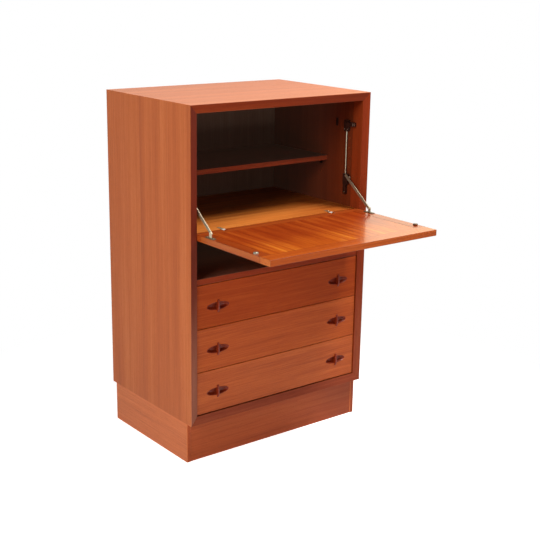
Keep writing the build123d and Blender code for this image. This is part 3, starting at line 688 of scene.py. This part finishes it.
def fin_ring(height, narrower=0.0):
    """Section of the fin at a height from its middle: a round nose, and a back on the rim or in the bowl."""
    share = height / FIN_HALF_HEIGHT
    proud = FIN_TIP + (FIN_PROUD - FIN_TIP) * (1 - share * share) - narrower
    back = BOWL_DEPTH + FIN_SINK if abs(height) < DISH_HEIGHT / 2 - DISH_LIP else 0.0
    half = FIN_HALF_WIDTH - narrower
    nose = [(FIN_EDGE * sin(angle), FIN_EDGE * (1 - cos(angle))) for angle in FIN_EDGE_ANGLES]
    right = [(half - FIN_EDGE + across, inset - proud, height) for across, inset in nose]
    left = [(-x, y, z) for x, y, z in reversed(right)]
    return [*right, (half, back, height), (-half, back, height), *left]


def fin_rings():
    mouth = DISH_HEIGHT / 2 - DISH_LIP
    heights = [FIN_HALF_HEIGHT * (2 * i / FIN_STEPS - 1) for i in range(1, FIN_STEPS)]
    heights += [side * (mouth + gap) for side in (-1, 1) for gap in (-FIN_NOTCH, FIN_NOTCH)]
    full = FIN_HALF_HEIGHT - FIN_BEVEL
    rings = [fin_ring(-FIN_HALF_HEIGHT, FIN_BEVEL), fin_ring(-full)]
    rings += [fin_ring(height) for height in sorted(heights) if abs(height) < full]
    return rings + [fin_ring(full), fin_ring(FIN_HALF_HEIGHT, FIN_BEVEL)]


def pulls(body, turned=Matrix()):
    """Replaces a body's pair of pulls by smoothly shaped ones."""
    node = f"{body}_pulls"
    low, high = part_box(node)
    middle = (low + high) / 2
    if turned == Matrix():
        rim = Vector((0, high.y - DISH_DEPTH, middle.z))
    else:
        rim = Vector((0, middle.y, high.z - DISH_DEPTH))
    mesh = bmesh.new()
    for x in (low.x + DISH_WIDTH / 2, high.x - DISH_WIDTH / 2):
        started = len(mesh.verts)
        joined_rings(mesh, dish_rings())
        joined_rings(mesh, fin_rings())
        mesh.verts.ensure_lookup_table()
        place = Matrix.Translation(rim + Vector((x, 0, 0))) @ turned
        bmesh.ops.transform(mesh, matrix=place, verts=mesh.verts[started:])
    bmesh.ops.recalc_face_normals(mesh, faces=mesh.faces)
    data = bpy.data.meshes.new(f"{node}_shaped")
    mesh.to_mesh(data)
    mesh.free()
    data.materials.append(DARK_LACQUER)
    piece = placed(f"{node}_shaped", data)
    smoothed(data)
    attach(piece, body)
    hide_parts(node)


for drawer in ("lower", "middle", "upper"):
    pulls(f"drawer_{drawer}")
pulls("flap", Matrix.Rotation(radians(90), 4, "X"))


# ------------------------------------------------------------------ screws, set out by geometry nodes
class Recipe(Graph):
    """A geometry node tree with one geometry input, named numeric inputs and one geometry output."""

    def __init__(self, name, **sizes):
        super().__init__(bpy.data.node_groups.new(name, "GeometryNodeTree"))
        interface = self.tree.interface
        interface.new_socket("Places", in_out="INPUT", socket_type="NodeSocketGeometry")
        for size in sizes:
            interface.new_socket(size, in_out="INPUT", socket_type="NodeSocketFloat")
        interface.new_socket("Pieces", in_out="OUTPUT", socket_type="NodeSocketGeometry")
        self.sizes = sizes
        entry = self.tree.nodes.new("NodeGroupInput")
        self.inputs = {socket.name: Signal(self, socket) for socket in entry.outputs if socket.name}

    def end(self, pieces):
        self.node("NodeGroupOutput", None, {"Pieces": pieces})

    def set_sizes(self, modifier):
        """Gives a modifier the sizes by their sockets' identifiers."""
        for item in self.tree.interface.items_tree:
            if item.in_out == "INPUT" and item.name in self.sizes:
                modifier[item.identifier] = self.sizes[item.name]


HEAD_SEGMENTS, HEAD_RINGS = 24, 12
SLOT_LENGTH = 2.4  # in radii of the head
SLOT_LIFT = 0.95  # of the slot cutter's middle, in rises of the head
SLOT_SEED = 7


def screw_recipe(name, material, **sizes):
    """Slotted round-headed screws on points, each facing its point's way, with its slot turned by chance."""
    recipe = Recipe(name, **sizes)
    reach, rise, slot = (recipe.inputs[key] for key in ("head_radius", "head_rise", "slot_width"))
    ball = recipe.node("GeometryNodeMeshUVSphere", None, {"Segments": HEAD_SEGMENTS, "Rings": HEAD_RINGS})
    squashed = recipe.node("ShaderNodeCombineXYZ", None, {0: reach, 1: reach, 2: rise})
    head = recipe.node("GeometryNodeTransform", None, {"Geometry": ball, "Scale": squashed})
    size = recipe.node("ShaderNodeCombineXYZ", None, {0: reach * SLOT_LENGTH, 1: slot, 2: rise})
    cutter = recipe.node("GeometryNodeMeshCube", None, {"Size": size})
    lift = recipe.node("ShaderNodeCombineXYZ", None, {2: rise * SLOT_LIFT})
    cutter = recipe.node("GeometryNodeTransform", None, {"Geometry": cutter, "Translation": lift})
    solids = {"Mesh 1": head, "Mesh 2": cutter}
    cut = recipe.node("GeometryNodeMeshBoolean", {"operation": "DIFFERENCE"}, solids)
    facing = recipe.node("GeometryNodeInputNamedAttribute", {"data_type": "FLOAT_VECTOR"}, {"Name": "facing"})
    turn = recipe.node("FunctionNodeAlignRotationToVector", {"axis": "Z"}, {"Vector": facing})
    span = {2: -pi, 3: pi, "Seed": SLOT_SEED}
    chance = recipe.node("FunctionNodeRandomValue", {"data_type": "FLOAT"}, span, "Value")
    on_points = {"Points": recipe.inputs["Places"], "Instance": cut, "Rotation": turn}
    heads = recipe.node("GeometryNodeInstanceOnPoints", None, on_points)
    spin = recipe.node("ShaderNodeCombineXYZ", None, {2: chance})
    heads = recipe.node("GeometryNodeRotateInstances", None, {"Instances": heads, "Rotation": spin})
    solid = recipe.node("GeometryNodeRealizeInstances", None, {"Geometry": heads})
    recipe.end(recipe.node("GeometryNodeSetMaterial", None, {"Geometry": solid, "Material": material}))
    return recipe


def screws(name, body, recipe, places):
    """One mesh of screws for a body. places is a list of (point, facing)."""
    points = bpy.data.meshes.new(name)
    points.from_pydata([point for point, facing in places], [], [])
    facings = points.attributes.new("facing", "FLOAT_VECTOR", "POINT")
    for item, (point, facing) in zip(facings.data, places):
        item.vector = facing
    piece = placed(name, points)
    modifier = piece.modifiers.new("screws", "NODES")
    modifier.node_group = recipe.tree
    recipe.set_sizes(modifier)
    graph = bpy.context.evaluated_depsgraph_get()
    baked = bpy.data.meshes.new_from_object(piece.evaluated_get(graph))
    piece.modifiers.clear()
    piece.data = baked
    smoothed(baked)
    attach(piece, body)


SCREW_SIZES = {"head_radius": 2.4 * MM, "head_rise": 0.9 * MM, "slot_width": 0.6 * MM}
SCREW = screw_recipe("slotted_screws", NICKEL, **SCREW_SIZES)
UP, BACKWARDS = (0, 0, 1), (0, 1, 0)
SIDES = (-1, 1)
LEAF_SCREW_X = 6 * MM  # in from the leaf's outer end
LEAF_SCREW_YS = (5.5 * MM, 16 * MM)  # in from its rear edge
BRACKET_FACE = 9.5 * MM  # a bracket's flange, in from its outer side
BRACKET_SCREW_YS = (-7 * MM, 7 * MM)  # from the rod
BRACKET_SCREW_Z = 6 * MM  # up from a bracket's lower end
BACK_SCREW_EDGE = 10 * MM
FOOT_SCREW_X = 6 * MM
FOOT_SCREW_YS = (-15 * MM, 15 * MM)
DISC_SCREW_X = 7.5 * MM


def carcase_screws():
    """Screws of the hinge leaves, the stays' brackets and the back panel."""
    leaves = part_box("hinge_board_leaves")[1]
    upper_low, upper_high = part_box("stay_upper_brackets")
    lower_low, lower_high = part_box("stay_lower_brackets")
    back_low, back_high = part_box("back_panel")
    face_x = upper_high.x - BRACKET_FACE
    rod_y = (lower_low.y + lower_high.y) / 2
    places = []
    for side in SIDES:
        leaf_x = side * (leaves.x - LEAF_SCREW_X)
        places += [((leaf_x, leaves.y - set_in, leaves.z), UP) for set_in in LEAF_SCREW_YS]
        inwards = (-side, 0, 0)
        for reach in BRACKET_SCREW_YS:
            places.append(((side * face_x, rod_y + reach, upper_low.z + BRACKET_SCREW_Z), inwards))
        places.append(((side * face_x, rod_y, lower_low.z + BRACKET_SCREW_Z), inwards))
    left, right = back_low.x + BACK_SCREW_EDGE, back_high.x - BACK_SCREW_EDGE
    bottom, top = back_low.z + BACK_SCREW_EDGE, back_high.z - BACK_SCREW_EDGE
    for share in (0, 1 / 3, 2 / 3, 1):
        x = left + share * (right - left)
        places += [((x, back_high.y, z), BACKWARDS) for z in (bottom, top)]
    for share in (0.25, 0.5, 0.75):
        z = back_low.z + share * (back_high.z - back_low.z)
        places += [((x, back_high.y, z), BACKWARDS) for x in (left, right)]
    return places


def flap_screws():
    """Screws of the stays' feet and the catch discs."""
    foot_low, foot_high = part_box("stay_feet")
    disc_low, disc_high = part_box("catch_discs")
    foot_x, foot_y = foot_high.x - FOOT_SCREW_X, (foot_low.y + foot_high.y) / 2
    plate_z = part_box("flap_front_rail")[1].z + FOOT_PLATE
    disc_x, disc_y = disc_high.x - DISC_SCREW_X, (disc_low.y + disc_high.y) / 2
    places = []
    for side in SIDES:
        places += [((side * foot_x, foot_y + reach, plate_z), UP) for reach in FOOT_SCREW_YS]
        places.append(((side * disc_x, disc_y, disc_high.z), UP))
    return places


screws("carcase_screws", "carcase", SCREW, carcase_screws())
screws("flap_screws", "flap", SCREW, flap_screws())


# ------------------------------------------------------------------ studio
SEEN_RAYS = ("Camera", "Glossy", "Transmission")
WHITE = (1, 1, 1, 1)
EVEN_LIGHT = (1.0, 0.98, 0.96, 1)
EVEN_LEVEL = 0.06
FLOOR_PAINT = ((0, (0.78,) * 3), (1, (0.84,) * 3))
FLOOR_LIFT = 0.78  # what the seen floor glows by, to come out white beside its shadow
FLOOR_REACH = 9.0
SHADOW_ENDS = (0.6, 1.3)  # metres from the middle, where the floor turns plain white

DAYLIGHT = (1.0, 0.98, 0.95)
KEY_PLACE, KEY_TARGET = (-3.0, -0.95, 2.2), (-0.35, 0.1, 0.6)


def seen_directly(graph):
    """1 for what the camera sees, straight or in gloss and glass, and 0 for light on the desk."""
    rays = [graph.node("ShaderNodeLightPath", out=f"Is {kind} Ray") for kind in SEEN_RAYS]
    return rays[0].most(rays[1]).most(rays[2])


def studio_floor():
    """Pale floor that keeps the desk's soft shadow and is white all round it."""
    finish = Finish("studio_floor_paint")
    speckle = finish.noise(finish.place, (40.0,) * 3)
    paint = finish.node("ShaderNodeBsdfDiffuse", None, {"Color": speckle.ramp(*FLOOR_PAINT)})
    seen = seen_directly(finish)
    lift = finish.node("ShaderNodeEmission", None, {"Color": WHITE, "Strength": seen * FLOOR_LIFT})
    near = finish.node("ShaderNodeAddShader", None, {0: paint, 1: lift})
    white = finish.node("ShaderNodeEmission", None, {"Color": WHITE, "Strength": 1.0})
    away = finish.node("ShaderNodeVectorMath", {"operation": "LENGTH"}, {0: finish.place}, "Value")
    shader = finish.node("ShaderNodeMixShader", None, {0: away.step(*SHADOW_ENDS) * seen, 1: near, 2: white})
    finish.node("ShaderNodeOutputMaterial", None, {"Surface": shader})
    mesh = bpy.data.meshes.new("studio_floor")
    corners = [(x * FLOOR_REACH, y * FLOOR_REACH, 0) for x, y in ((-1, -1), (1, -1), (1, 1), (-1, 1))]
    mesh.from_pydata(corners, [], [(0, 1, 2, 3)])
    mesh.materials.append(finish.material)
    placed("studio_floor", mesh)


def studio_world():
    """White behind the desk and in its gloss, and a dim even light everywhere else."""
    world = bpy.data.worlds.new("studio_world")
    bpy.context.scene.world = world
    world.use_nodes = True
    world.node_tree.nodes.clear()
    graph = Graph(world.node_tree)
    even = graph.node("ShaderNodeBackground", None, {"Color": EVEN_LIGHT, "Strength": EVEN_LEVEL})
    white = graph.node("ShaderNodeBackground", None, {"Color": WHITE, "Strength": 1.0})
    shader = graph.node("ShaderNodeMixShader", None, {0: seen_directly(graph), 1: even, 2: white})
    graph.node("ShaderNodeOutputWorld", None, {"Surface": shader})


def soft_box(name, place, target, size, level, colour=DAYLIGHT, mirrored=True):
    """A soft area light, of (width, height), that lights a white card at its target to level.

    One that is not mirrored leaves no image of itself in gloss.
    """
    away = Vector(target) - Vector(place)
    light = bpy.data.lights.new(name, "AREA")
    light.shape = "RECTANGLE"
    light.size, light.size_y = size
    light.energy = pi * pi * away.length_squared * level
    light.color = colour
    lamp = placed(name, light)
    lamp.location = place
    lamp.rotation_euler = away.to_track_quat("-Z", "Y").to_euler()
    lamp.visible_camera = False
    lamp.visible_glossy = mirrored


studio_floor()
studio_world()
soft_box("key_from_left", KEY_PLACE, KEY_TARGET, (1.4, 1.4), 0.61, mirrored=False)
soft_box("glint_from_left", KEY_PLACE, KEY_TARGET, (0.6, 0.6), 0.1)
soft_box("overhead", (1.0, -0.95, 3.3), (0, -0.1, 1.0), (0.9, 0.5), 1.45, (1.0, 0.985, 0.95))
soft_box("low_front_fill", (-0.2, -2.0, 0.3), (0.1, -0.07, 0.3), (1.0, 0.3), 0.16, (1.0, 0.96, 0.9))
soft_box("floor_bounce", (-1.2, -0.45, 0.06), (-0.35, 0.0, 0.28), (0.9, 0.3), 0.36, (0.86, 0.94, 1.0))
soft_box("window_behind_right", (4.04, 2.73, 2.17), (0.1, -0.35, 0.74), (1.6, 1.6), 0.033, (1.0, 0.72, 0.2))


# ------------------------------------------------------------------ camera
CAMERA_PLACE = (-2.0553, -2.6208, 1.4912)
CAMERA_YAW = -38.107  # degrees, from looking along +Y
CAMERA_TILT = 74.437  # from looking straight down
CAMERA_ROLL = 0.975
CAMERA_LENS = 71.56

yaw, tilt, roll = radians(CAMERA_YAW), radians(CAMERA_TILT), radians(CAMERA_ROLL)
turn = Matrix.Rotation(yaw, 4, "Z") @ Matrix.Rotation(tilt, 4, "X") @ Matrix.Rotation(roll, 4, "Z")
camera_data = bpy.data.cameras.new("camera")
camera_data.lens = CAMERA_LENS
camera = placed("camera", camera_data)
camera.matrix_world = Matrix.Translation(CAMERA_PLACE) @ turn
bpy.context.scene.camera = camera
bpy.context.scene.view_settings.view_transform = "Standard"
